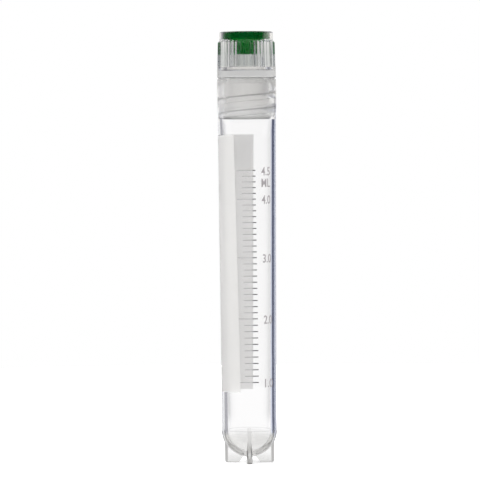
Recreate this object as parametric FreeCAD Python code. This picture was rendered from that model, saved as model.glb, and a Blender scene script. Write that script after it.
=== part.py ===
"""Cryovial: a round-bottomed tube on a four-legged star foot, shut by a ribbed screw cap whose
threaded stem goes down inside the neck.

Millimetres, +Z up.  The origin is on the tube's axis, in the plane that the four feet stand on.
Angles are measured counter-clockwise from the front, which is -Y.
"""
import FreeCAD, Part

import math
import os

from FreeCAD import Vector

# ---------------------------------------------------------------------------------------------
# Driving dimensions
# ---------------------------------------------------------------------------------------------

# Tube: outside
body_radius = 5.8            # outside, where the round bottom meets the body
outside_draft = 0.34         # degrees, the body widens upwards
body_length = 67.5           # from the centre of the round bottom to the shoulder
shoulder_length = 1.5
neck_step = 0.1              # how far the neck stands proud of the top of the body
neck_length = 6.0            # parallel neck, from the shoulder to the rim
rim_chamfer = 0.12           # on the rim's outer edge
parting_step = 0.04          # step in the wall where the bottom insert of the mould meets the body

# Tube: inside
bottom_wall = 1.16           # wall of the round bottom
bore_draft = 0.53            # degrees, the bore widens upwards faster than the outside
neck_bore_step = 0.09        # how much wider the threaded neck is than the bore below it
neck_bore_taper = 1.5        # length over which the bore narrows from one to the other
seat_depth = 1.0             # conical seat of the mouth
seat_width = 0.5

# Star foot
foot_clearance = 1.17        # from the standing plane to the lowest point of the round bottom
leg_count = 4
leg_inset = 0.55             # outer edge of a leg, in from the outside of the body
leg_inner_reach = 2.3        # where the flat of a leg's foot starts
leg_root_reach = 0.9         # where the leg's underside runs into the round bottom
leg_thickness_low = 1.24
leg_thickness_high = 0.9     # at the height of the centre of the round bottom
leg_corner = 0.5             # rounding of the outer lower corner
leg_edge_round = 0.3         # rounding along both sides of the sole

# Screw thread, right-handed, one start
pitch = 3.0
female_height = 0.5          # how far the neck's ridge stands into the bore
female_crest = 0.8           # axial width of its crest
female_base = 1.6            # axial width where it leaves the wall: the upper flank is sloped
male_crest = 0.8
male_base = 1.4              # the stem's ridge has its sloped flank underneath
first_flank_height = 0.78    # from the end of the stem up to the bearing flank, at the front
female_start_angle = -105.0  # degrees from the front
male_start_angle = -80.0
thread_margin = 0.95         # plain wall between the neck's ridge and the conical seat
male_shortfall = 0.25        # turns by which the stem's ridge is shorter than the neck's
female_fade_radius = 3.0     # the neck's ridge fades into the wall along a cylinder of this radius

# Clearances
crest_clearance = 0.1        # radial, neck ridge to stem
root_clearance = 0.12        # radial, stem ridge to neck bore
flank_clearance = 0.08       # axial, between the two bearing flanks
gasket_clearance = 0.05      # radial, gasket to stem and gasket to conical seat
insert_clearance = 0.05      # radial, colour insert to the cap's recess

# Cap: stem
stem_length = 8.8            # below the flange
stem_chamfer = 0.3
stem_wall = 1.45             # at the mouth of the stem's hollow
stem_hollow_draft = 2.0      # degrees, the hollow narrows upwards
web_thickness = 1.8          # the solid disc between the hollow and the recess

# Cap: outside
flange_inset = 0.04          # edge of the flange, in from the outside of the neck
flange_thickness = 1.6       # plain band that sits over the rim
flare_height = 0.6           # the band narrows to the ribbed part
flare_step = 0.04
grip_inset = 0.03            # crests of the ribs, in from the top edge of the flare
grip_height = 5.75           # ribs, measured above the flare
grip_draft = 1.3             # degrees
top_ring_height = 1.85       # plain ring above the ribs
top_bevel = 0.42             # the ring's outer edge is bevelled in two flats
top_bevel_share = 0.3        # of the bevel, where its two flats meet
rib_count = 42
rib_height = 0.4             # ribs stand this far out of the core
rib_share = 0.94             # of a rib's pitch that its foot takes up
rib_crest_share = 0.12       # of its pitch that its flat crest takes up
rib_top_slope = 0.45         # height over which the ribs' upper ends slope in to the plain ring
groove_run_out = 0.12        # height over which the grooves run out onto the flare
groove_depth = 0.04          # how far the grooves between the ribs go in behind the plain ring

# Cap: recess for the colour insert
ring_wall = 0.55             # wall of the plain ring, outside the insert's rim
ledge_width = 1.17           # ledge that carries the insert's rim
ledge_depth = 1.65           # from the top of the cap
recess_corner = 0.1          # chamfer round the floor of the recess and the end of the stem's hollow
mouth_chamfer = 0.05

# Colour insert
insert_set_down = 0.1        # its face lies this far below the top of the cap
insert_skirt_length = 3.2    # below the ledge
insert_skirt_wall = 0.9
insert_face = 1.3            # thickness of the face over the hollow skirt
insert_chamfer = 0.15

# Gasket
gasket_thickness = 0.25      # of the washer between the rim and the flange
gasket_inset = 0.3           # washer's edge, in from the outside of the neck
gasket_lip_length = 1.05     # lip that goes down into the mouth

# ---------------------------------------------------------------------------------------------
# Levels and radii that follow from them
# ---------------------------------------------------------------------------------------------

centre_z = foot_clearance + body_radius
shoulder_z = centre_z + body_length
neck_z = shoulder_z + shoulder_length
rim_z = neck_z + neck_length
flange_z = rim_z + gasket_thickness
stem_end_z = flange_z - stem_length
band_z = flange_z + flange_thickness
grip_z = band_z + flare_height
grip_top_z = grip_z + grip_height
cap_top_z = grip_top_z + top_ring_height
ledge_z = cap_top_z - ledge_depth
floor_z = band_z
hollow_top_z = floor_z - web_thickness
flank_z = stem_end_z + first_flank_height

body_top_radius = body_radius + body_length * math.tan(math.radians(outside_draft))
neck_radius = body_top_radius + neck_step
bottom_bore_radius = body_radius - bottom_wall
neck_bore_z = stem_end_z - crest_clearance - (female_base - female_crest)


def bore_radius(z):
    """Radius of the drafted bore at height z."""
    return bottom_bore_radius + (z - centre_z) * math.tan(math.radians(bore_draft))


neck_bore_radius = bore_radius(shoulder_z) + neck_bore_step
female_crest_radius = neck_bore_radius - female_height
stem_radius = female_crest_radius - crest_clearance
male_crest_radius = neck_bore_radius - root_clearance
hollow_mouth_radius = stem_radius - stem_wall
hollow_top_radius = (hollow_mouth_radius
                     - (hollow_top_z - stem_end_z) * math.tan(math.radians(stem_hollow_draft)))
flange_radius = neck_radius - flange_inset
flare_radius = flange_radius - flare_step
core_radius = flare_radius - grip_inset - rib_height
core_top_radius = core_radius - grip_height * math.tan(math.radians(grip_draft))
ring_radius = core_top_radius + groove_depth
ledge_radius = ring_radius - ring_wall
wall_radius = (core_top_radius + ledge_radius) / 2
run_out_reach = groove_run_out * (flare_radius - wall_radius) / (flare_radius - core_radius)
slope_reach = rib_top_slope * (flange_radius - ring_radius) / (rib_height - groove_depth)
bevel_corner = top_bevel * top_bevel_share
recess_radius = ledge_radius - ledge_width
leg_reach = body_radius - leg_inset


def flank_level(angle):
    """Height of the bearing flank at an angle from the front, counted on over the turns."""
    return flank_z + pitch * angle / 360


seat_bottom_z = rim_z - seat_depth
female_turns = (seat_bottom_z - thread_margin - female_base - flank_level(female_start_angle)) / pitch
male_turns = female_turns - male_shortfall

origin = Vector(0, 0, 0)
up = Vector(0, 0, 1)


# ---------------------------------------------------------------------------------------------
# Helpers
# ---------------------------------------------------------------------------------------------

def line(start, end):
    return Part.LineSegment(start, end).toShape()


def edges_through(corners):
    """Edges of a half section through corners (radius, z), or (radius, z, rounding)."""
    points = [Vector(corner[0], 0, corner[1]) for corner in corners]
    edges = []
    start = points[0]
    for index in range(1, len(corners) - 1):
        corner = points[index]
        if len(corners[index]) == 3:
            back = (points[index - 1] - corner).normalize()
            ahead = (points[index + 1] - corner).normalize()
            half_angle = back.getAngle(ahead) / 2
            rounding = corners[index][2]
            setback = rounding / math.tan(half_angle)
            inwards = (back + ahead).normalize()
            centre = corner + inwards * (rounding / math.sin(half_angle))
            edges.append(line(start, corner + back * setback))
            edges.append(Part.Arc(corner + back * setback, centre - inwards * rounding,
                                  corner + ahead * setback).toShape())
            start = corner + ahead * setback
        else:
            edges.append(line(start, corner))
            start = corner
    edges.append(line(start, points[-1]))
    return edges


def revolved(corners):
    """Solid of revolution from the corners of a closed half section."""
    edges = edges_through(list(corners) + [corners[0]])
    return Part.Face(Part.Wire(edges)).revolve(origin, up, 360)


def bowl(radius):
    """Quarter circle of the round bottom's section, from the axis out to its widest point."""
    slant = radius * math.sqrt(0.5)
    return Part.Arc(Vector(0, 0, centre_z - radius), Vector(slant, 0, centre_z - slant),
                    Vector(radius, 0, centre_z)).toShape()


def front_turned(shape, angle):
    """Turn a shape made along +X to an angle counter-clockwise from the front."""
    turned = shape.copy()
    turned.rotate(origin, up, angle - 90)
    return turned


def helical_ridge(root_radius, crest_radius, crest, base, start_angle, turns):
    """Buttress ridge up the right-handed helix, from its bearing flank at height 0.

    The other flank slopes from the crest's far edge to the base's, and on into the wall behind.
    """
    buried_radius = root_radius + (root_radius - crest_radius) / 2
    buried_base = base + (base - crest) / 2
    corners = [Vector(crest_radius, 0, 0), Vector(crest_radius, 0, crest),
               Vector(buried_radius, 0, buried_base), Vector(buried_radius, 0, 0)]
    helix = Part.makeHelix(pitch, pitch * turns, crest_radius)
    ridge = Part.Wire(helix.Edges).makePipeShell([Part.makePolygon(corners + corners[:1])], True, True)
    ridge.translate(Vector(0, 0, flank_level(start_angle)))
    return front_turned(ridge, start_angle)


# ---------------------------------------------------------------------------------------------
# Tube
# ---------------------------------------------------------------------------------------------

def make_shell():
    """The tube's wall: round bottom, drafted body, neck, bore and conical seat in the mouth."""
    outside = [(body_radius, centre_z),
               (body_radius + parting_step, centre_z),
               (body_top_radius, shoulder_z),
               (neck_radius, neck_z),
               (neck_radius, rim_z - rim_chamfer),
               (neck_radius - rim_chamfer, rim_z),
               (neck_bore_radius + seat_width, rim_z),
               (neck_bore_radius, seat_bottom_z),
               (neck_bore_radius, neck_bore_z),
               (bore_radius(neck_bore_z - neck_bore_taper), neck_bore_z - neck_bore_taper),
               (bottom_bore_radius, centre_z)]
    axis = line(Vector(0, 0, centre_z - bottom_bore_radius), Vector(0, 0, centre_z - body_radius))
    wire = Part.Wire([bowl(body_radius)] + edges_through(outside) + [bowl(bottom_bore_radius), axis])
    return Part.Face(wire).revolve(origin, up, 360)


def make_leg():
    """One leg of the star foot, along +X: its side outline crossed with its tapered section."""
    mid_wall = (body_radius + bottom_bore_radius) / 2
    root_z = centre_z - math.sqrt(mid_wall ** 2 - leg_root_reach ** 2)
    side = edges_through([(leg_root_reach, centre_z),
                          (leg_root_reach, root_z),
                          (leg_inner_reach, 0),
                          (leg_reach, 0, leg_corner),
                          (leg_reach, centre_z),
                          (leg_root_reach, centre_z)])
    side_plate = Part.Face(Part.Wire(side))
    side_plate.translate(Vector(0, -body_radius, 0))
    side_plate = side_plate.extrude(Vector(0, 2 * body_radius, 0))
    section = edges_through([(0, centre_z),
                             (-leg_thickness_high / 2, centre_z),
                             (-leg_thickness_low / 2, 0, leg_edge_round),
                             (leg_thickness_low / 2, 0, leg_edge_round),
                             (leg_thickness_high / 2, centre_z),
                             (0, centre_z)])
    bar = Part.Face(Part.Wire(section))
    bar.rotate(origin, up, 90)
    bar = bar.extrude(Vector(body_radius, 0, 0))
    inner_ball = Part.makeSphere(mid_wall, Vector(0, 0, centre_z))
    return side_plate.common(bar).cut(inner_ball)


def make_female_ridge():
    """The neck's ridge: flat bearing flank underneath, sloped flank above, faded at both ends."""
    ridge = helical_ridge(neck_bore_radius, female_crest_radius, female_crest, female_base,
                          female_start_angle, female_turns)
    for angle in (female_start_angle, female_start_angle + 360 * female_turns):
        fade = Part.makeCylinder(female_fade_radius, female_base + pitch / 2)
        fade.translate(Vector(neck_bore_radius - female_fade_radius, 0, flank_level(angle) - pitch / 4))
        ridge = ridge.cut(front_turned(fade, angle))
    return ridge


def make_tube():
    tube = make_shell()
    for index in range(leg_count):
        tube = tube.fuse(front_turned(make_leg(), 360 * index / leg_count))
    return tube.fuse(make_female_ridge()).removeSplitter()


# ---------------------------------------------------------------------------------------------
# Cap
# ---------------------------------------------------------------------------------------------

def make_cap_body():
    """Everything of the cap that is round: hollow stem, flange, wall inside the ribs, top ring."""
    return revolved([(0, hollow_top_z),
                     (hollow_top_radius - recess_corner, hollow_top_z),
                     (hollow_top_radius, hollow_top_z - recess_corner),
                     (hollow_mouth_radius, stem_end_z),
                     (stem_radius - stem_chamfer, stem_end_z),
                     (stem_radius, stem_end_z + stem_chamfer),
                     (stem_radius, flange_z),
                     (flange_radius, flange_z),
                     (flange_radius, band_z),
                     (flare_radius, grip_z),
                     (wall_radius, grip_z + run_out_reach),
                     (wall_radius, grip_top_z),
                     (ring_radius, grip_top_z),
                     (ring_radius, cap_top_z - top_bevel),
                     (ring_radius - bevel_corner, cap_top_z - bevel_corner),
                     (ring_radius - top_bevel, cap_top_z),
                     (ledge_radius + mouth_chamfer, cap_top_z),
                     (ledge_radius, cap_top_z - mouth_chamfer),
                     (ledge_radius, ledge_z),
                     (recess_radius, ledge_z),
                     (recess_radius, floor_z + recess_corner),
                     (recess_radius - recess_corner, floor_z),
                     (0, floor_z)])


def ribbed_outline(z, core):
    """Outline of the grip at one height: sloped ribs with narrow flat crests, close together."""
    crest = core + rib_height
    rib = [(-rib_share / 2, core), (-rib_crest_share / 2, crest),
           (rib_crest_share / 2, crest), (rib_share / 2, core)]
    points = []
    for index in range(rib_count):
        for share, radius in rib:
            angle = 2 * math.pi * (index + share) / rib_count
            points.append(Vector(radius * math.sin(angle), -radius * math.cos(angle), z))
    return Part.makePolygon(points + points[:1])


def make_grip():
    """The ribbed part, lofted with its draft round the cap's wall, with the ribs' tops sloped in."""
    outlines = [ribbed_outline(grip_z, core_radius), ribbed_outline(grip_top_z, core_top_radius)]
    room = revolved([(ledge_radius, grip_z),
                     (flange_radius, grip_z),
                     (flange_radius, grip_top_z - slope_reach),
                     (ring_radius, grip_top_z),
                     (ledge_radius, grip_top_z)])
    return Part.makeLoft(outlines, True, True).common(room)


def make_male_ridge():
    """The stem's ridge: flat bearing flank on top, sloped flank underneath.

    It starts below the end of the stem, which trims it to a wedge, and fades out at its top.
    """
    ridge = helical_ridge(stem_radius, male_crest_radius, -male_crest, -male_base,
                          male_start_angle, male_turns)
    ridge.translate(Vector(0, 0, -flank_clearance))
    end_angle = male_start_angle + 360 * male_turns
    below = flank_level(end_angle) - male_base - pitch / 4
    block = Part.makeBox(stem_radius, 2 * stem_radius, male_base + pitch / 2)
    block.translate(Vector(stem_radius, -stem_radius, below))
    room = Part.makeCylinder(flange_radius, stem_length, Vector(0, 0, stem_end_z))
    return ridge.cut(front_turned(block, end_angle)).common(room)


def make_cap():
    return make_cap_body().fuse([make_male_ridge(), make_grip()]).removeSplitter()


# ---------------------------------------------------------------------------------------------
# Colour insert and gasket
# ---------------------------------------------------------------------------------------------

def make_colour_insert():
    """Disc with a hollow skirt, pushed into the recess in the top of the cap."""
    face_z = cap_top_z - insert_set_down
    skirt_radius = recess_radius - insert_clearance
    rim_radius = ledge_radius - insert_clearance
    skirt_end_z = ledge_z - insert_skirt_length
    return revolved([(0, face_z),
                     (rim_radius - insert_chamfer, face_z),
                     (rim_radius, face_z - insert_chamfer),
                     (rim_radius, ledge_z),
                     (skirt_radius, ledge_z),
                     (skirt_radius, skirt_end_z),
                     (skirt_radius - insert_skirt_wall, skirt_end_z),
                     (skirt_radius - insert_skirt_wall, face_z - insert_face),
                     (0, face_z - insert_face)])


def make_gasket():
    """Silicone washer under the flange, with a lip that fills the conical seat of the mouth."""
    hole_radius = stem_radius + gasket_clearance
    slope = seat_width / seat_depth
    lip_z = rim_z - gasket_lip_length
    seat_radius = neck_bore_radius + seat_width - gasket_clearance
    return revolved([(hole_radius, flange_z),
                     (hole_radius, lip_z),
                     (seat_radius - slope * gasket_lip_length, lip_z),
                     (seat_radius, rim_z),
                     (neck_radius - gasket_inset, rim_z),
                     (neck_radius - gasket_inset, flange_z)])


# ---------------------------------------------------------------------------------------------
# Build
# ---------------------------------------------------------------------------------------------

nodes = {
    "tube": make_tube(),
    "cap": make_cap(),
    "colour_insert": make_colour_insert(),
    "gasket": make_gasket(),
}

os.makedirs("parts", exist_ok=True)
for name, shape in nodes.items():
    shape.exportStep(f"parts/{name}.step")
    box = shape.BoundBox
    print(f"{name}: {len(shape.Solids)} solid, valid {shape.isValid()}, {shape.Volume:.1f} mm3, "
          f"z {box.ZMin:.2f} to {box.ZMax:.2f}")
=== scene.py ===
"""Looks of the cryovial: clear tube, translucent ribbed cap, green insert, gasket and print."""
import math

import bmesh
import bpy
from mathutils import Matrix, Quaternion, Vector


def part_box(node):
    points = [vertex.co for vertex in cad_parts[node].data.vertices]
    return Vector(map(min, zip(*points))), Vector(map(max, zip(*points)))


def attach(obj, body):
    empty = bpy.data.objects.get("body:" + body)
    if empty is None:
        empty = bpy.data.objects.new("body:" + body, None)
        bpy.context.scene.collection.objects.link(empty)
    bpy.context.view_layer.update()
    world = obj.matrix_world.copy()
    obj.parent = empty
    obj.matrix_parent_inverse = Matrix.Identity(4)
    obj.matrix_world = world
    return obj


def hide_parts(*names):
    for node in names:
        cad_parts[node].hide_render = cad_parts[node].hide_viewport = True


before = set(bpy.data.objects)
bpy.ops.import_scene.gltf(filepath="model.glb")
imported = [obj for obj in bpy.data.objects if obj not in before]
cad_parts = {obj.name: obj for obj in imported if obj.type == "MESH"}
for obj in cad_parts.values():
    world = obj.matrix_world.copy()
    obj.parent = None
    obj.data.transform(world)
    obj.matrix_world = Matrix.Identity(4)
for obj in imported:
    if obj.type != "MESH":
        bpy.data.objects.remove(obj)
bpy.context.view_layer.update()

# Lengths are in millimetres and angles in degrees, unless a comment says otherwise.  Angles round the
# axis are counted counter-clockwise from the front, which is -Y.  MM turns a length into metres.
MM = 0.001


def level(node, end):
    """Height in millimetres of a CAD node's lowest (end 0) or highest (end 1) point."""
    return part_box(node)[end].z / MM


# ---------------------------------------------------------------------------------------------
# Levels and radii
# ---------------------------------------------------------------------------------------------

rim_z = level("tube", 1)
flange_z = level("gasket", 1)
lip_z = level("gasket", 0)
cap_top_z = level("cap", 1)
stem_end_z = level("cap", 0)
insert_top_z = level("colour_insert", 1)
insert_end_z = level("colour_insert", 0)
neck_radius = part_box("tube")[1].x / MM

# Tube
body_radius = 5.8
bottom_wall = 1.16
centre_z = 6.97
shoulder_z = rim_z - 7.5
neck_z = rim_z - 6.0
body_top_radius = neck_radius - 0.1
parting_step = 0.04
parting_height = 0.01
rim_round = 0.12
bore_bottom_radius = body_radius - bottom_wall
bore_draft = 0.53
neck_bore_step = 0.09
neck_bore_taper = 1.5
seat_depth = 1.0
seat_width = 0.5

# Thread
pitch = 3.0
female_height = 0.5
female_crest = 0.8
female_base = 1.6
male_crest = 0.8
male_base = 1.4
female_start = -105.0
male_start = -80.0
thread_margin = 0.95
male_shortfall = 0.25
flank_clearance = 0.08
crest_clearance = 0.1
root_clearance = 0.12
flank_rise = 0.78
flank_z = stem_end_z + flank_rise
ridge_trim = 0.002

# Star foot
leg_inset = 0.55
leg_corner = 0.5
leg_inner_reach = 2.3
leg_root_reach = 0.9
leg_thickness_low = 1.24
leg_thickness_high = 0.9
leg_edge_round = 0.38
leg_proud = 0.08
leg_outer_share = 0.3
leg_lap = 2.0

# Cap
flange_thickness = 1.6
flange_step = 0.04
flange_round = 0.1
flare_step = 0.04
flare_edge = 0.02
flare_height = 0.6
grip_height = 5.75
rib_count = 42
rib_height = 0.4
rib_step = 0.03
core_draft = 0.13
edge_row = 0.03
stem_wall = 1.45
stem_round = 0.3
hollow_draft = 2.0
web_thickness = 1.8
rib_top_slope = 0.45
rib_turn = 2.2
groove_run_out = 0.04
recess_corner = 0.04
ring_step = 0.04
ring_round = 0.25
ring_wall = 0.55
ledge_width = 1.17
ledge_depth = 1.65
ledge_edge = 0.1

# Insert and gasket
insert_gap = 0.05
insert_seat_gap = 0.01
insert_thickness = 1.3
insert_skirt_wall = 0.9
insert_edge = 0.15
insert_edge_middle = 0.04
gasket_inset = 0.3
gasket_gap = 0.01
gasket_side_gap = 0.05


def bore_radius(z):
    """Inside radius of the drafted body."""
    return bore_bottom_radius + (z - centre_z) * math.tan(math.radians(bore_draft))


def body_outside(z):
    """Outside radius of the drafted body."""
    share = (z - centre_z) / (shoulder_z - centre_z)
    return body_radius + (body_top_radius - body_radius) * share


neck_bore_radius = bore_radius(shoulder_z) + neck_bore_step
female_crest_radius = neck_bore_radius - female_height
stem_radius = female_crest_radius - crest_clearance
male_crest_radius = neck_bore_radius - root_clearance
hollow_mouth_radius = stem_radius - stem_wall
band_z = flange_z + flange_thickness
grip_z = band_z + flare_height
grip_top_z = grip_z + grip_height
hollow_top_z = band_z - web_thickness
hollow_top_radius = hollow_mouth_radius - (hollow_top_z - stem_end_z) * math.tan(math.radians(hollow_draft))
ledge_z = cap_top_z - ledge_depth
flange_radius = neck_radius - flange_step
flare_radius = flange_radius - flare_step
core_radius = flare_radius - rib_step - rib_height
core_top_radius = core_radius - core_draft
ring_radius = core_top_radius + ring_step
ledge_radius = ring_radius - ring_wall
recess_radius = ledge_radius - ledge_width


# ---------------------------------------------------------------------------------------------
# Mesh helpers
# ---------------------------------------------------------------------------------------------

def around(radius, angle, z):
    """Point at a radius and height, at an angle from the front."""
    turn = math.radians(angle)
    return Vector((radius * math.sin(turn), -radius * math.cos(turn), z))


def make_object(name, mesh):
    """Object for a mesh that is smooth, apart from its sharper edges."""
    sharp_angle = 35
    for polygon in mesh.polygons:
        polygon.use_smooth = True
    mesh.set_sharp_from_angle(angle=math.radians(sharp_angle))
    piece = bpy.data.objects.new(name, mesh)
    bpy.context.scene.collection.objects.link(piece)
    return piece


def solid_object(name, shape):
    """Object for a closed shape, which is used up."""
    bmesh.ops.recalc_face_normals(shape, faces=shape.faces)
    mesh = bpy.data.meshes.new(name)
    shape.to_mesh(mesh)
    shape.free()
    return make_object(name, mesh)


def arc(centre_r, centre_height, radius, start, end, steps):
    """Points of a round stretch of a half section; 0 degrees is outwards and 90 is up."""
    points = []
    for step in range(steps + 1):
        turn = math.radians(start + (end - start) * step / steps)
        points.append((centre_r + radius * math.cos(turn), centre_height + radius * math.sin(turn)))
    return points


def lathe(name, section, segments, radius_at=None):
    """Closed solid turned from a half section of (radius, z), which may start and end on the axis.

    radius_at(index, radius, z, angle) may change a radius from place to place round the axis.
    """
    shape = bmesh.new()
    rings = []
    for index, (radius, z) in enumerate(section):
        if radius < 1e-6:
            rings.append([shape.verts.new(Vector((0, 0, z)))])
            continue
        ring = []
        for step in range(segments):
            angle = 360 * step / segments
            here = radius_at(index, radius, z, angle) if radius_at else radius
            ring.append(shape.verts.new(around(here, angle, z)))
        rings.append(ring)
    closed = len(rings[0]) > 1
    pairs = list(zip(rings, rings[1:])) + ([(rings[-1], rings[0])] if closed else [])
    for low, high in pairs:
        for step in range(segments):
            after = (step + 1) % segments
            if len(low) == 1:
                shape.faces.new((low[0], high[after], high[step]))
            elif len(high) == 1:
                shape.faces.new((low[step], low[after], high[0]))
            else:
                shape.faces.new((low[step], low[after], high[after], high[step]))
    return solid_object(name, shape)


def united(piece, others):
    """piece with the others joined to it as one solid."""
    for other in others:
        join = piece.modifiers.new("join", "BOOLEAN")
        join.operation = "UNION"
        join.solver = "EXACT"
        join.object = other
    evaluated = piece.evaluated_get(bpy.context.evaluated_depsgraph_get())
    mesh = bpy.data.meshes.new_from_object(evaluated)
    name = piece.name
    for old in [piece, *others]:
        bpy.data.objects.remove(old)
    mesh.name = name
    return make_object(name, mesh)


def trimmed_below(piece, z):
    """Cut off what is under a height, and close the cut."""
    shape = bmesh.new()
    shape.from_mesh(piece.data)
    cut = bmesh.ops.bisect_plane(shape, geom=shape.verts[:] + shape.edges[:] + shape.faces[:],
                                 plane_co=(0, 0, z), plane_no=(0, 0, -1), clear_outer=True)
    rim = [edge for edge in cut["geom_cut"] if isinstance(edge, bmesh.types.BMEdge)]
    bmesh.ops.edgeloop_fill(shape, edges=rim)
    bmesh.ops.recalc_face_normals(shape, faces=shape.faces)
    shape.to_mesh(piece.data)
    shape.free()


def flank_level(angle):
    """Height of the bearing flank at an angle from the front, counted on over the turns."""
    return flank_z + pitch * angle / 360


def neck_ridge_turns():
    """Turns of the neck's ridge, which ends under a stretch of plain wall below the seat."""
    top = rim_z - seat_depth - thread_margin - female_base
    return (top - flank_level(female_start)) / pitch


def helical_ridge(name, root, crest_radius, crest, base, start, turns, lift, fades):
    """Buttress ridge up the right-handed helix, its bearing flank flat and its other flank sloped.

    crest and base are axial widths, negative for a ridge that lies below its bearing flank.  The
    ridge sinks into the wall over the angles in fades, at its start and at its end.
    """
    steps_a_turn = 96
    steps = round(turns * steps_a_turn)
    outwards = math.copysign(1, crest_radius - root)
    height = abs(crest_radius - root)
    slope = (base - crest) / height
    edge = math.copysign(0.1, crest)
    sunk = 0.05
    buried = root - outwards * height / 2
    shape = bmesh.new()
    sections = []
    for step in range(steps + 1):
        turned = 360 * step / steps_a_turn
        left = 360 * (steps - step) / steps_a_turn
        shares = [way / fade for way, fade in zip((turned, left), fades) if fade]
        share = math.sin(math.radians(90 * min(shares + [1])))
        top = root + outwards * (height * share - sunk * (1 - share))
        bevel = top - outwards * abs(edge)
        corners = [(buried, 0), (bevel, 0), (top, edge), (top, crest - edge),
                   (bevel, crest + slope * abs(edge)),
                   (buried, crest + slope * abs(top - buried))]
        angle = start + turned
        z = flank_level(angle) + lift
        sections.append([shape.verts.new(around(radius, angle, z + rise)) for radius, rise in corners])
    for low, high in zip(sections, sections[1:]):
        for corner in range(len(low)):
            after = (corner + 1) % len(low)
            shape.faces.new((low[corner], low[after], high[after], high[corner]))
    shape.faces.new(sections[0])
    shape.faces.new(sections[-1])
    return solid_object(name, shape)


# ---------------------------------------------------------------------------------------------
# Tube
# ---------------------------------------------------------------------------------------------

def make_leg(angle):
    """One leg of the star foot, made of layers of its side outline.

    The layers draw in towards each side, which rounds the edges.  The outline runs inside the wall,
    out over the round bottom, down the outer edge, round the corner and in along the sole.
    """
    mid_wall = body_radius - bottom_wall / 2
    reach = body_radius - leg_inset
    outer = body_radius + leg_proud
    side_layers = 7
    merge = math.degrees(math.acos(reach / outer))
    root = math.degrees(math.acos(leg_root_reach / mid_wall))
    turns = [90 * layer / side_layers for layer in range(side_layers + 1)]
    layers = [(-1, turn) for turn in turns] + [(1, turn) for turn in reversed(turns)]
    shape = bmesh.new()
    rings = []
    for side, turn in layers:
        inset = leg_edge_round * (1 - math.sin(math.radians(turn)))
        inwards = leg_edge_round * (1 - math.cos(math.radians(turn)))
        outline = arc(0, centre_z, mid_wall, -root, 0, steps=24)
        outline += arc(0, centre_z, outer - leg_outer_share * inset, -leg_lap, -merge, steps=8)
        outline += arc(reach - leg_corner, leg_corner, leg_corner - inset, 0, -90, steps=8)
        outline += [(leg_inner_reach + inset, inset)]
        ring = []
        for radius, z in outline:
            taper = (leg_thickness_high - leg_thickness_low) * z / centre_z
            half = (leg_thickness_low + taper) / 2
            ring.append(shape.verts.new(Vector((radius, side * (half - inwards), z))))
        rings.append(ring)
    for first, second in zip(rings, rings[1:]):
        for index in range(len(first)):
            after = (index + 1) % len(first)
            shape.faces.new((first[index], second[index], second[after], first[after]))
    shape.faces.new(rings[0])
    shape.faces.new(rings[-1])
    bmesh.ops.rotate(shape, verts=shape.verts, cent=(0, 0, 0),
                     matrix=Matrix.Rotation(math.radians(angle - 90), 3, "Z"))
    return solid_object("leg", shape)


def make_tube():
    """Tube with its round bottom, legs and neck thread: outside from the bottom up, then inside down."""
    section = arc(0, centre_z, body_radius, -90, 0, steps=40)
    section[0] = (0, centre_z - body_radius)
    section += [(body_radius + parting_step, centre_z + parting_height)]
    rows = 24
    heights = [centre_z + (shoulder_z - centre_z) * row / rows for row in range(1, rows + 1)]
    section += [(body_outside(z), z) for z in heights]
    section += [(neck_radius, neck_z), (neck_radius, (neck_z + rim_z) / 2)]
    section += arc(neck_radius - rim_round, rim_z - rim_round, rim_round, 0, 90, steps=5)
    section += [(neck_bore_radius + seat_width, rim_z), (neck_bore_radius, rim_z - seat_depth)]
    neck_bore_z = stem_end_z - crest_clearance - (female_base - female_crest)
    neck_rows = 6
    neck_bore_length = rim_z - seat_depth - neck_bore_z
    heights = [neck_bore_z + neck_bore_length * row / neck_rows for row in range(neck_rows - 1, -1, -1)]
    section += [(neck_bore_radius, z) for z in heights]
    bore_end = neck_bore_z - neck_bore_taper
    heights = [centre_z + (bore_end - centre_z) * row / rows for row in range(rows, 0, -1)]
    section += [(bore_radius(z), z) for z in heights]
    inner = arc(0, centre_z, bore_bottom_radius, 0, -90, steps=40)
    inner[-1] = (0, centre_z - bore_bottom_radius)
    section += inner
    tube = lathe("vial_tube", section, segments=256)
    ridge = helical_ridge("ridge", neck_bore_radius, female_crest_radius, female_crest, female_base,
                          female_start, neck_ridge_turns(), lift=0, fades=(50, 50))
    return united(tube, [make_leg(90 * index) for index in range(4)] + [ridge])


# ---------------------------------------------------------------------------------------------
# Cap
# ---------------------------------------------------------------------------------------------

def rib_profile(share):
    """Height of the ribs, 0 to 1, across one rib's pitch (share 0 to 1 from groove to groove).

    The flanks are straight, and the crest and the groove are rounded off over a part of them.
    """
    crest, groove = 0.2, 0.15
    out = abs(share - 0.5) * 2
    fall = out - crest / 2
    if out < crest:
        fall = out ** 2 / (2 * crest)
    elif out > 1 - groove:
        fall -= (out - 1 + groove) ** 2 / (2 * groove)
    return 1 - fall / (1 - crest / 2 - groove / 2)


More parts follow.
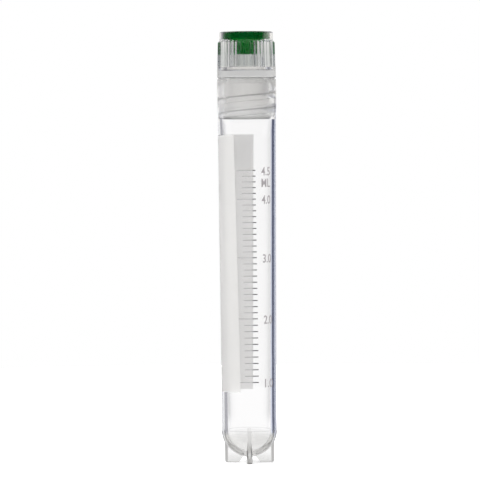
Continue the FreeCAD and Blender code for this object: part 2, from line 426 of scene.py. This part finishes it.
def make_cap():
    """Ribbed cap with its threaded stem: hollow, stem, flange, flare, grip, ring, ledge and recess."""
    rib_columns = 16
    section = [(0, hollow_top_z), (hollow_top_radius - stem_round, hollow_top_z),
               (hollow_top_radius, hollow_top_z - stem_round), (hollow_mouth_radius, stem_end_z),
               (stem_radius - stem_round, stem_end_z), (stem_radius, stem_end_z + stem_round)]
    stem_rows = 8
    section += [(stem_radius, stem_end_z + (flange_z - stem_end_z) * row / stem_rows)
                for row in range(1, stem_rows + 1)]
    section += arc(flange_radius - flange_round, flange_z + flange_round, flange_round, -90, 0, steps=3)
    section += [(flange_radius, flange_z + flange_round + edge_row),
                (flange_radius, band_z - edge_row), (flange_radius, band_z),
                (flare_radius, grip_z - flare_edge), (flare_radius - flare_edge, grip_z)]
    grip_start = len(section)
    end_rows = 6
    rises = [groove_run_out * row / end_rows for row in range(end_rows + 1)]
    rises += [groove_run_out + edge_row]
    rises += [grip_height * share for share in (0.2, 0.4, 0.6, 0.8)]
    rises += [grip_height - rib_top_slope - edge_row]
    rises += [grip_height - rib_top_slope * row / end_rows for row in range(end_rows, -1, -1)]
    section += [(core_radius - core_draft * rise / grip_height, grip_z + rise) for rise in rises]
    grip_end = len(section)
    round_z = cap_top_z - ring_round
    section += [(ring_radius, grip_top_z + edge_row), (ring_radius, grip_top_z + 2 * edge_row),
                (ring_radius, round_z - edge_row), (ring_radius, round_z)]
    section += arc(ring_radius - ring_round, round_z, ring_round, 15, 90, steps=6)
    section += [(ledge_radius + ledge_edge, cap_top_z), (ledge_radius, cap_top_z - ledge_edge),
                (ledge_radius, ledge_z), (recess_radius, ledge_z), (recess_radius, band_z + recess_corner),
                (recess_radius - recess_corner, band_z), (0, band_z)]

    def ribbed(index, radius, z, angle):
        """Radius of the grip with its ribs, which run out below and slope off above."""
        if not grip_start <= index < grip_end:
            return radius
        here = radius + rib_height * rib_profile((angle + rib_turn) * rib_count / 360 % 1)
        run_out = flare_radius - rib_step - rib_height * (z - grip_z) / groove_run_out
        top_slope = ring_radius + (rib_height - ring_step) * (grip_top_z - z) / rib_top_slope
        return min(max(here, run_out), top_slope)

    cap = lathe("screw_cap", section, rib_count * rib_columns, ribbed)
    ridge = helical_ridge("ridge", stem_radius, male_crest_radius, -male_crest, -male_base, male_start,
                          neck_ridge_turns() - male_shortfall, lift=-flank_clearance, fades=(0, 30))
    trimmed_below(ridge, stem_end_z + ridge_trim)
    return united(cap, [ridge])


def make_insert():
    """Green disc with a hollow skirt."""
    rim = ledge_radius - insert_gap
    skirt = recess_radius - insert_gap
    hollow = skirt - insert_skirt_wall
    top = insert_top_z
    middle = insert_edge_middle
    seat_z = ledge_z + insert_seat_gap
    section = [(0, top), (rim - insert_edge, top), (rim - middle, top - middle), (rim, top - insert_edge),
               (rim, top - insert_edge - edge_row), (rim, seat_z), (skirt, seat_z), (skirt, insert_end_z),
               (hollow, insert_end_z), (hollow, top - insert_thickness), (0, top - insert_thickness)]
    return lathe("colour_disc", section, segments=128)


def make_gasket():
    """Silicone washer with its lip."""
    hole = stem_radius + gasket_side_gap
    seat = neck_bore_radius + seat_width - gasket_side_gap
    low = seat - seat_width / seat_depth * (rim_z - lip_z)
    outside = neck_radius - gasket_inset
    top = flange_z - gasket_gap
    section = [(hole, top), (hole, lip_z), (low, lip_z), (seat, rim_z + gasket_gap),
               (outside, rim_z + gasket_gap), (outside, top)]
    return lathe("gasket_ring", section, segments=192)


# ---------------------------------------------------------------------------------------------
# Print
# ---------------------------------------------------------------------------------------------

ink_gap = 0.006
ink_thickness = 0.012
ink_step_angle = 2.0
ink_step_height = 4


def ink_layer(shape, quad, depth):
    """Grid of vertices over one printed quad, at a depth of ink over the body."""
    (left_low, right_low), (left_high, right_high), low, high = quad
    columns = max(1, math.ceil(abs(right_low - left_low) / ink_step_angle))
    rows = max(1, math.ceil((high - low) / ink_step_height))
    grid = []
    for row in range(rows + 1):
        up = row / rows
        z = low + (high - low) * up
        left = left_low + (left_high - left_low) * up
        right = right_low + (right_high - right_low) * up
        radius = body_outside(z) + depth
        grid.append([shape.verts.new(around(radius, left + (right - left) * column / columns, z))
                     for column in range(columns + 1)])
    return grid


def printed(name, quads):
    """Thin closed sheets of ink on the body.

    Each quad is ((left, right) at its bottom, (left, right) at its top, bottom, top).
    """
    shape = bmesh.new()
    for quad in quads:
        inner = ink_layer(shape, quad, ink_gap)
        outer = ink_layer(shape, quad, ink_gap + ink_thickness)
        rows = len(inner) - 1
        columns = len(inner[0]) - 1
        for grid in (inner, outer):
            for lower, upper in zip(grid, grid[1:]):
                for left in range(columns):
                    shape.faces.new((lower[left], lower[left + 1], upper[left + 1], upper[left]))
        sides = [((row, column), (row + 1, column)) for row in range(rows) for column in (0, columns)]
        sides += [((row, column), (row, column + 1)) for column in range(columns) for row in (0, rows)]
        for (row, column), (next_row, next_column) in sides:
            shape.faces.new((inner[row][column], inner[next_row][next_column],
                             outer[next_row][next_column], outer[row][column]))
    return solid_object(name, shape)


def drift(z, at_top, at_bottom):
    """Angle that drifts evenly down the print, which sits slightly askew on the tube."""
    top, bottom = 62.5, 17.5
    return at_top + (at_bottom - at_top) * (top - z) / (top - bottom)


def graduation_z(volume):
    """Height of the graduation for a volume in mL, between those that carry numbers."""
    marks = [(1.0, 17.48), (2.0, 31.01), (3.0, 43.99), (4.0, 56.43), (4.5, 62.51)]
    for (low, z_low), (high, z_high) in zip(marks, marks[1:]):
        if volume <= high + 1e-6:
            return z_low + (z_high - z_low) * (volume - low) / (high - low)
    return marks[-1][1]


def make_patch():
    """Writing patch round the left side and the back, its edges slightly askew."""
    low, high = 15.3, 70.0
    return printed("writing_patch", [((-190.0, -17.6), (-195.0, -27.4), low, high)])


def make_scale():
    """Graduation lines for every 0.1 mL, thin and grey apart from their wider, black right-hand ends."""
    lines = []
    ends = []
    half = 0.055
    end_half = 0.095
    for tenth in range(10, 46):
        z = graduation_z(tenth / 10)
        long_line = tenth % 10 == 0 or tenth == 45
        right = drift(z, 16.1, 20.7)
        left = right - drift(z, 38.5, 40.9) if long_line else right - drift(z, 27.0, 28.6)
        split = drift(z, 10.4, 8.0)
        lines.append(((left, split), (left, split), z - half, z + half))
        ends.append(((split, right), (split, right), z - end_half, z + end_half))
    return printed("graduations", lines), printed("graduation_ends", ends)


def make_number(text, z, index):
    """Numeral printed beside the scale, bent round the body."""
    curve = bpy.data.curves.new("numeral", "FONT")
    curve.body = text
    curve.size = 1.0
    curve.offset = 0.012
    letters = bpy.data.objects.new("numeral", curve)
    bpy.context.scene.collection.objects.link(letters)
    bpy.context.view_layer.update()
    mesh = bpy.data.meshes.new_from_object(letters.evaluated_get(bpy.context.evaluated_depsgraph_get()))
    bpy.data.objects.remove(letters)
    shape = bmesh.new()
    shape.from_mesh(mesh)
    low_x = min(vert.co.x for vert in shape.verts)
    high_x = max(vert.co.x for vert in shape.verts)
    low_y = min(vert.co.y for vert in shape.verts)
    high_y = max(vert.co.y for vert in shape.verts)
    width = 2.39
    height = 1.82
    for vert in shape.verts:
        vert.co.x = (vert.co.x - low_x) / (high_x - low_x) * width
        vert.co.y = (vert.co.y - low_y) / (high_y - low_y) * height - height / 2
    bmesh.ops.triangulate(shape, faces=shape.faces)
    longest = 0.2
    for _ in range(3):
        long_edges = [edge for edge in shape.edges
                      if abs(edge.verts[0].co.x - edge.verts[1].co.x) > longest]
        if long_edges:
            bmesh.ops.subdivide_edges(shape, edges=long_edges, cuts=1)
            bmesh.ops.triangulate(shape, faces=shape.faces)
    extruded = bmesh.ops.extrude_face_region(shape, geom=shape.faces[:])
    outer = {item for item in extruded["geom"] if isinstance(item, bmesh.types.BMVert)}
    start = drift(z, 28.6, 35.3)
    for vert in shape.verts:
        height_here = z + vert.co.y
        radius = body_outside(height_here) + ink_gap + (ink_thickness if vert in outer else 0)
        angle = start + math.degrees(vert.co.x / radius)
        vert.co = around(radius, angle, height_here)
    bmesh.ops.recalc_face_normals(shape, faces=shape.faces)
    shape.to_mesh(mesh)
    shape.free()
    mesh.name = f"numeral_{index}"
    return make_object(f"numeral_{index}", mesh)


# ---------------------------------------------------------------------------------------------
# Materials
# ---------------------------------------------------------------------------------------------

plastic_ior = 1.49


class Wiring:
    """Short way to wire number and colour nodes in one node tree."""

    def __init__(self, tree):
        self.nodes = tree.nodes
        self.links = tree.links

    def plug(self, socket, value):
        """Link an output to an input, or set the input to a value."""
        if isinstance(value, bpy.types.NodeSocket):
            self.links.new(value, socket)
        else:
            socket.default_value = value

    def number(self, operation, *values):
        """Result of a Math node on numbers or outputs."""
        node = self.nodes.new("ShaderNodeMath")
        node.operation = operation
        for socket, value in zip(node.inputs, values):
            self.plug(socket, value)
        return node.outputs[0]

    def blend(self, share, first, second):
        """Colour that goes from the first to the second as share goes from 0 to 1."""
        node = self.nodes.new("ShaderNodeMix")
        node.data_type = "RGBA"
        for socket, value in (("Factor", share), ("A", first), ("B", second)):
            self.plug(node.inputs[socket], (*value, 1) if isinstance(value, tuple) else value)
        return node.outputs["Result"]

    def ramp(self, value, low, high):
        """0 below low, 1 above high, smooth between; low may be the larger."""
        node = self.nodes.new("ShaderNodeMapRange")
        node.interpolation_type = "SMOOTHSTEP"
        self.plug(node.inputs["Value"], value)
        node.inputs["From Min"].default_value = min(low, high)
        node.inputs["From Max"].default_value = max(low, high)
        if low > high:
            node.inputs["To Min"].default_value = 1
            node.inputs["To Max"].default_value = 0
        return node.outputs["Result"]

    def times(self, first, second):
        """Product of two numbers or outputs."""
        return self.number("MULTIPLY", first, second)

    def between(self, value, rise, fall):
        """1 between two ramps: rise is (low, high) of the one up, fall (low, high) of the one down."""
        return self.times(self.ramp(value, *rise), self.ramp(value, fall[1], fall[0]))

    def place(self):
        """Place on the object: the vector in metres, then x, y and z in millimetres."""
        coordinates = self.nodes.new("ShaderNodeTexCoord")
        parts = self.nodes.new("ShaderNodeSeparateXYZ")
        self.links.new(coordinates.outputs["Object"], parts.inputs["Vector"])
        lengths = [self.number("DIVIDE", parts.outputs[axis], MM) for axis in "XYZ"]
        return coordinates.outputs["Object"], *lengths

    def distance(self, vector, point):
        """Distance in millimetres of a place from a point that is given in millimetres."""
        node = self.nodes.new("ShaderNodeVectorMath")
        node.operation = "DISTANCE"
        self.links.new(vector, node.inputs[0])
        node.inputs[1].default_value = Vector(point) * MM
        return self.number("DIVIDE", node.outputs["Value"], MM)


def new_material(name):
    """New material with its nodes, its links and its main shader."""
    material = bpy.data.materials.new(name)
    material.use_nodes = True
    nodes = material.node_tree.nodes
    return material, nodes, material.node_tree.links, nodes["Principled BSDF"]


def add_bump(nodes, links, shader, scale, distance, detail=3.0, stretch=(1, 1, 1)):
    """Fine unevenness of a moulded or printed surface; distance is in metres."""
    where = nodes.new("ShaderNodeTexCoord")
    mapping = nodes.new("ShaderNodeMapping")
    mapping.inputs["Scale"].default_value = stretch
    noise = nodes.new("ShaderNodeTexNoise")
    noise.inputs["Scale"].default_value = scale
    noise.inputs["Detail"].default_value = detail
    bump = nodes.new("ShaderNodeBump")
    bump.inputs["Strength"].default_value = 1.0
    bump.inputs["Distance"].default_value = distance
    links.new(where.outputs["Object"], mapping.inputs["Vector"])
    links.new(mapping.outputs["Vector"], noise.inputs["Vector"])
    links.new(noise.outputs["Fac"], bump.inputs["Height"])
    links.new(bump.outputs["Normal"], shader.inputs["Normal"])


def add_absorption(material, colour, density):
    """Colour that light takes on over its way through the plastic; density is for each metre."""
    nodes = material.node_tree.nodes
    volume = nodes.new("ShaderNodeVolumeAbsorption")
    volume.inputs["Color"].default_value = (*colour, 1)
    volume.inputs["Density"].default_value = density
    material.node_tree.links.new(volume.outputs["Volume"], nodes["Material Output"].inputs["Volume"])


def foot_masks(wiring, vector, x, height, reach):
    """Where the star foot is, and where its edges, its side legs' edges and its lower half are; the tube's
    material paints shade on these and roughens the edges.
    """
    out = wiring.distance(vector, (0, 0, centre_z))
    leg = wiring.times(wiring.ramp(out, body_radius + 0.01, body_radius + 0.04),
                       wiring.ramp(height, centre_z, centre_z - 0.05))
    rim = (body_radius - 1.25, body_radius - 1.05)
    # edge and side mark the painted shade of the foot's edges and its side legs' edges; edge also roughens
    # them.
    edge = wiring.times(wiring.ramp(reach, *rim), leg)
    across = wiring.number("ABSOLUTE", x)
    side = wiring.number("MAXIMUM", wiring.ramp(across, *rim), wiring.ramp(height, 0.35, 0.2))
    low_leg_shade = wiring.times(leg, wiring.ramp(height, 2.6, 0.5))
    return edge, wiring.times(side, leg), low_leg_shade


def thread_flank_shade_mask(wiring, height, reach):
    """Where the flanks of the neck's ridge are, which the tube's material paints dark as painted shade."""
    flank = wiring.between(reach, (female_crest_radius + 0.12, female_crest_radius + 0.17),
                           (neck_bore_radius - 0.17, neck_bore_radius - 0.12))
    seat_end = rim_z - seat_depth
    threaded = wiring.between(height, (neck_z - 2, neck_z - 1), (seat_end - 0.1, seat_end))
    return wiring.times(flank, threaded)


def clear_plastic():
    """Tube: clear, a little hazy in the neck and the bottom, with painted shade that makes it darker at
    edges that bend light away.
    """
    material, nodes, links, shader = new_material("clear_polypropylene")
    wiring = Wiring(material.node_tree)
    vector, x, y, height = wiring.place()
    squares = [wiring.number("POWER", length, 2) for length in (x, y)]
    reach = wiring.number("SQRT", wiring.number("ADD", *squares))
    neck = wiring.ramp(height, neck_z - 1, neck_z + 1)
    cloudy = wiring.ramp(height, neck_z - 2.6, neck_z - 1.6)
    bottom = wiring.ramp(height, centre_z, centre_z - 2.5)
    haze = wiring.number("MAXIMUM", wiring.times(cloudy, 0.25), wiring.times(bottom, 0.04))
    # milky greys the round bottom: painted shade of the light that it bends away, beside the bottom's real
    # haze.
    milky = wiring.between(height, (2.4, 3.6), (centre_z - 1.8, centre_z))
    # parting darkens the parting line: a painted shade line at the step round the tube.
    parting = wiring.between(height, (centre_z - 0.1, centre_z - 0.05), (centre_z + 0.05, centre_z + 0.1))
    edge, side, low_leg_shade = foot_masks(wiring, vector, x, height, reach)
    colour = wiring.blend(neck, (0.993, 0.991, 0.991), (1.0, 0.992, 0.982))
    # Painted shade: these tints darken the thread's flanks, the round bottom, the lower legs, the foot's
    # edges, the side legs' edges and the parting line, where the plastic bends light away.
    tints = [(thread_flank_shade_mask(wiring, height, reach), (0.1, 0.09, 0.09)),
             (milky, (0.935, 0.932, 0.925)),
             (low_leg_shade, (0.84, 0.837, 0.83)),
             (edge, (0.86, 0.855, 0.845)),
             (side, (0.54, 0.537, 0.53)),
             (parting, (0.84, 0.84, 0.84))]
    for mask, tint in tints:
        colour = wiring.blend(mask, colour, tint)
    wiring.plug(shader.inputs["Base Color"], colour)
    wiring.plug(shader.inputs["Roughness"], wiring.number("ADD", 0.02, wiring.times(edge, 0.33)))
    wiring.plug(shader.inputs["Transmission Weight"], wiring.number("SUBTRACT", 1.0, haze))
    shader.inputs["IOR"].default_value = plastic_ior
    add_bump(nodes, links, shader, scale=160.0, distance=0.00001, detail=2.0, stretch=(1, 1, 0.25))
    add_absorption(material, (0.84, 0.86, 0.9), density=12)
    return material


def natural_plastic():
    """Cap: translucent, greyer in its band and grip by painted shade, softer in its stem and flare."""
    material, nodes, links, shader = new_material("natural_polypropylene")
    wiring = Wiring(material.node_tree)
    _, _, _, height = wiring.place()
    stem = wiring.ramp(height, flange_z + 0.6, flange_z - 0.1)
    band = wiring.between(height, (flange_z, flange_z + 0.2), (band_z - 0.1, band_z + 0.3))
    flare = wiring.between(height, (band_z - 0.1, band_z), (grip_z, grip_z + 0.4))
    grip = wiring.between(height, (grip_z, grip_z + 0.4), (insert_end_z - 0.4, cap_top_z))
    # Painted shade: the band and the grip are tinted grey, darker than the rest of the same plastic.
    colour = wiring.blend(band, (0.98, 0.97, 0.955), (0.8, 0.8, 0.8))
    colour = wiring.blend(stem, colour, (1.0, 1.0, 0.99))
    colour = wiring.blend(grip, colour, (0.78, 0.795, 0.78))
    soft = wiring.number("MAXIMUM", stem, wiring.times(flare, 0.5))
    wiring.plug(shader.inputs["Base Color"], colour)
    wiring.plug(shader.inputs["Roughness"], wiring.number("ADD", 0.06, wiring.times(soft, 0.25)))
    wiring.plug(shader.inputs["Transmission Weight"],
                wiring.number("SUBTRACT", 1.0, wiring.times(stem, 0.08)))
    shader.inputs["IOR"].default_value = plastic_ior
    add_bump(nodes, links, shader, scale=900.0, distance=0.000003)
    add_absorption(material, (0.6, 0.6, 0.59), density=60)
    return material


def green_plastic():
    """Insert: deep green that lets a little light through."""
    material, nodes, links, shader = new_material("green_plastic")
    shader.inputs["Base Color"].default_value = (0.0, 0.7, 0.18, 1)
    shader.inputs["Roughness"].default_value = 0.06
    shader.inputs["IOR"].default_value = plastic_ior
    shader.inputs["Transmission Weight"].default_value = 0.9
    add_bump(nodes, links, shader, scale=1200.0, distance=0.000002)
    add_absorption(material, (0.0, 0.82, 0.67), density=1500)
    return material


def silicone():
    """Gasket: matt and milky."""
    material, nodes, links, shader = new_material("silicone")
    shader.inputs["Base Color"].default_value = (0.95, 0.95, 0.94, 1)
    shader.inputs["Roughness"].default_value = 0.5
    shader.inputs["IOR"].default_value = 1.41
    shader.inputs["Transmission Weight"].default_value = 0.65
    add_bump(nodes, links, shader, scale=900.0, distance=0.00001)
    return material


def white_ink():
    """Writing patch: thin white ink that some light goes through."""
    material, nodes, links, shader = new_material("white_ink")
    shader.inputs["Base Color"].default_value = (0.95, 0.945, 0.935, 1)
    shader.inputs["Roughness"].default_value = 0.65
    shader.inputs["IOR"].default_value = 1.1
    shader.inputs["Transmission Weight"].default_value = 0.72
    add_bump(nodes, links, shader, scale=2500.0, distance=0.000004)
    return material


def black_ink(name, colour):
    """Ink of the scale, in the black of a thick line or the grey of a thin one."""
    material, nodes, links, shader = new_material(name)
    shader.inputs["Base Color"].default_value = (*colour, 1)
    shader.inputs["Roughness"].default_value = 0.5
    add_bump(nodes, links, shader, scale=2500.0, distance=0.000004)
    return material


def dress(piece, material, body, slot, *nodes):
    """Bring a finished piece to metres, give it its material and body, and hide the CAD nodes that it
    replaces; the slot is not used.
    """
    piece.data.transform(Matrix.Scale(MM, 4))
    piece.data.materials.clear()
    piece.data.materials.append(material)
    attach(piece, body)
    if nodes:
        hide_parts(*nodes)


# ---------------------------------------------------------------------------------------------
# Assembly
# ---------------------------------------------------------------------------------------------

thin_black = black_ink("thin_black_ink", (0.36, 0.34, 0.35))
dress(make_tube(), clear_plastic(), "vial", "clear_polypropylene", "tube")
dress(make_cap(), natural_plastic(), "screw_cap", "natural_polypropylene", "cap")
dress(make_insert(), green_plastic(), "screw_cap", "green_plastic", "colour_insert")
dress(make_gasket(), silicone(), "seal", "silicone", "gasket")
dress(make_patch(), white_ink(), "vial", "clear_polypropylene")
graduations, graduation_ends = make_scale()
dress(graduations, thin_black, "vial", "clear_polypropylene")
dress(graduation_ends, black_ink("black_ink", (0.03, 0.03, 0.035)), "vial", "clear_polypropylene")
numerals = [("4.5", 62.3), ("ML", 59.85), ("4.0", 56.3), ("3.0", 43.8), ("2.0", 30.77), ("1.0", 17.25)]
for index, (text, z) in enumerate(numerals):
    dress(make_number(text, z, index), thin_black, "vial", "clear_polypropylene")


# ---------------------------------------------------------------------------------------------
# Stage, light and camera
# ---------------------------------------------------------------------------------------------

# The camera, diffuse light and light that goes straight through see white all round.  Light that the
# plastic reflects sees a studio instead: flags behind the vial, softboxes above and a dim front.
# The floor's radius and the lamps' places and size are in metres, and table_edge is in degrees.
white = (1.0, 1.0, 1.0)
flag_left = (0.37, 0.37, 0.4)
flag_right = (0.015, 0.022, 0.07)
flag_rim = (0.66, 0.7, 0.84)
side_white = (0.6, 0.6, 0.6)
softbox = (0.95, 0.94, 0.92)
front_low = (0.9, 0.9, 0.9)
front_high = (0.004, 0.004, 0.005)
floor_near = (0.68, 0.675, 0.66)
floor_radius = 0.3
table_edge = 1.2


def azimuth_of(wiring, vector):
    """Angle round the vial from straight behind it, in degrees, positive to the right."""
    parts = wiring.nodes.new("ShaderNodeSeparateXYZ")
    wiring.links.new(vector, parts.inputs["Vector"])
    angle = wiring.number("ARCTAN2", parts.outputs["X"], parts.outputs["Y"])
    return wiring.times(angle, math.degrees(1)), parts


def behind_the_vial(wiring, azimuth):
    """White backdrop with a grey flag to the left and a navy one to the right, low down."""
    left = wiring.between(azimuth, (-66, -58), (-32, -26))
    right = wiring.between(azimuth, (12, 30), (44, 51))
    rim = wiring.between(azimuth, (-6, 12), (52, 64))
    backdrop = wiring.blend(rim, wiring.blend(left, white, flag_left), flag_rim)
    return wiring.blend(right, backdrop, flag_right)


def off_to_the_sides(wiring, azimuth):
    """How far, 0 to 1, a direction is into the dimmer sides that the refracted light sees."""
    return wiring.between(wiring.number("ABSOLUTE", azimuth), (5, 32), (35, 43))


def emission(wiring, colour, strength=1.0):
    """Shader that glows evenly."""
    node = wiring.nodes.new("ShaderNodeEmission")
    wiring.plug(node.inputs["Color"], colour)
    wiring.plug(node.inputs["Strength"], strength)
    return node.outputs["Emission"]


def mixed(wiring, share, first, second):
    """Shader that goes from the first to the second as share goes from 0 to 1."""
    node = wiring.nodes.new("ShaderNodeMixShader")
    for socket, value in zip(node.inputs, (share, first, second)):
        wiring.plug(socket, value)
    return node.outputs["Shader"]


def floor_material():
    """White with the vial's shadow; reflected light sees the studio's flags, refracted light dim sides."""
    material, nodes, links, shader = new_material("floor")
    wiring = Wiring(material.node_tree)
    shader.inputs["Base Color"].default_value = (0.8, 0.8, 0.8, 1)
    shader.inputs["Roughness"].default_value = 0.9
    path = nodes.new("ShaderNodeLightPath")
    glow = emission(wiring, (*white, 1), wiring.times(path.outputs["Is Camera Ray"], 0.5))
    lit = nodes.new("ShaderNodeAddShader")
    links.new(shader.outputs["BSDF"], lit.inputs[0])
    links.new(glow, lit.inputs[1])
    vector = wiring.place()[0]
    azimuth, _ = azimuth_of(wiring, vector)
    away = wiring.distance(vector, (0, 0, 0))
    shade = wiring.times(off_to_the_sides(wiring, azimuth), wiring.ramp(away, 70, 120))
    plain = emission(wiring, wiring.blend(shade, white, side_white))
    seen_through = mixed(wiring, path.outputs["Is Transmission Ray"], lit.outputs["Shader"], plain)
    far = wiring.ramp(away, 20, 50)
    studio = emission(wiring, wiring.blend(far, floor_near, behind_the_vial(wiring, azimuth)))
    reflected = wiring.number("GREATER_THAN", path.outputs["Glossy Depth"], 0.5)
    links.new(mixed(wiring, reflected, seen_through, studio), nodes["Material Output"].inputs["Surface"])
    return material


def make_floor():
    """Round floor under the vial, which only dresses the stage."""
    shape = bmesh.new()
    bmesh.ops.create_circle(shape, cap_ends=True, radius=floor_radius, segments=96)
    mesh = bpy.data.meshes.new("floor")
    shape.to_mesh(mesh)
    shape.free()
    floor = bpy.data.objects.new("floor", mesh)
    bpy.context.scene.collection.objects.link(floor)
    mesh.materials.append(floor_material())


def studio_colour(wiring, azimuth, height):
    """What the light that the plastic has reflected sees, by azimuth and height in degrees."""
    aside = wiring.number("ABSOLUTE", azimuth)
    facing = wiring.times(wiring.ramp(aside, 92, 112), wiring.ramp(height, -0.4, -0.1))
    over_edge = wiring.ramp(height, table_edge - 0.15, table_edge + 0.15)
    front = wiring.blend(facing, wiring.blend(over_edge, front_low, front_high), front_high)
    high = wiring.blend(wiring.ramp(azimuth, -25, -35), softbox, flag_left)
    high = wiring.blend(wiring.ramp(azimuth, -61, -77), high, front)
    sides = wiring.blend(wiring.ramp(height, 0.35, 0.55), behind_the_vial(wiring, azimuth), high)
    return wiring.blend(wiring.ramp(aside, 84, 100), sides, front)


def make_world():
    """White all round, and for light that the plastic has reflected a studio with dim sides."""
    world = bpy.data.worlds.new("studio")
    bpy.context.scene.world = world
    world.use_nodes = True
    nodes = world.node_tree.nodes
    wiring = Wiring(world.node_tree)
    background = nodes["Background"]
    path = nodes.new("ShaderNodeLightPath")
    coordinates = nodes.new("ShaderNodeTexCoord")
    azimuth, parts = azimuth_of(wiring, coordinates.outputs["Generated"])
    height = wiring.times(wiring.number("ARCSINE", parts.outputs["Z"]), math.degrees(1))
    near_horizon = wiring.between(height, (-9, -6), (-0.1, 0.3))
    through = wiring.times(path.outputs["Is Transmission Ray"], near_horizon)
    shade = wiring.times(off_to_the_sides(wiring, azimuth), through)
    plain = wiring.blend(shade, white, side_white)
    reflected = wiring.number("GREATER_THAN", path.outputs["Glossy Depth"], 0.5)
    studio = studio_colour(wiring, azimuth, height)
    wiring.plug(background.inputs["Color"], wiring.blend(reflected, plain, studio))
    less_for_diffuse = wiring.times(path.outputs["Is Diffuse Ray"], 0.2)
    wiring.plug(background.inputs["Strength"], wiring.number("SUBTRACT", 1.0, less_for_diffuse))


def make_lamp(name, place, power):
    """Square lamp aimed at the vial's middle, which the plastic itself does not show."""
    side = 0.5
    aim = Vector((0, 0, 0.05))
    light = bpy.data.lights.new(name, "AREA")
    light.shape = "RECTANGLE"
    light.size = side
    light.size_y = side
    light.energy = power
    lamp = bpy.data.objects.new(name, light)
    bpy.context.scene.collection.objects.link(lamp)
    lamp.location = place
    lamp.visible_glossy = False
    lamp.visible_transmission = False
    lamp.rotation_mode = "QUATERNION"
    lamp.rotation_quaternion = (aim - Vector(place)).to_track_quat("-Z", "Y")


def make_camera():
    """Camera in front, a little above and slightly rolled."""
    aside = -1.67
    distance = 700
    camera_height = 69.6
    target_height = 47.6
    width = 102.6 * MM
    roll = -0.48
    camera = bpy.data.objects.new("camera", bpy.data.cameras.new("camera"))
    bpy.context.scene.collection.objects.link(camera)
    bpy.context.scene.camera = camera
    camera.location = Vector((aside, -distance, camera_height)) * MM
    sight = Vector((aside, 0, target_height)) * MM - camera.location
    camera.data.sensor_width = 36
    camera.data.lens = camera.data.sensor_width * sight.length / width
    camera.data.clip_start = 0.01
    camera.rotation_mode = "QUATERNION"
    turned = Quaternion((0, 0, 1), math.radians(roll))
    camera.rotation_quaternion = sight.to_track_quat("-Z", "Y") @ turned


make_floor()
make_world()
make_lamp("key", (-0.78, -0.3, 0.5), 6.5)
make_lamp("fill", (0.6, -0.5, 0.3), 2.0)
make_camera()
bpy.context.scene.view_settings.view_transform = "Standard"
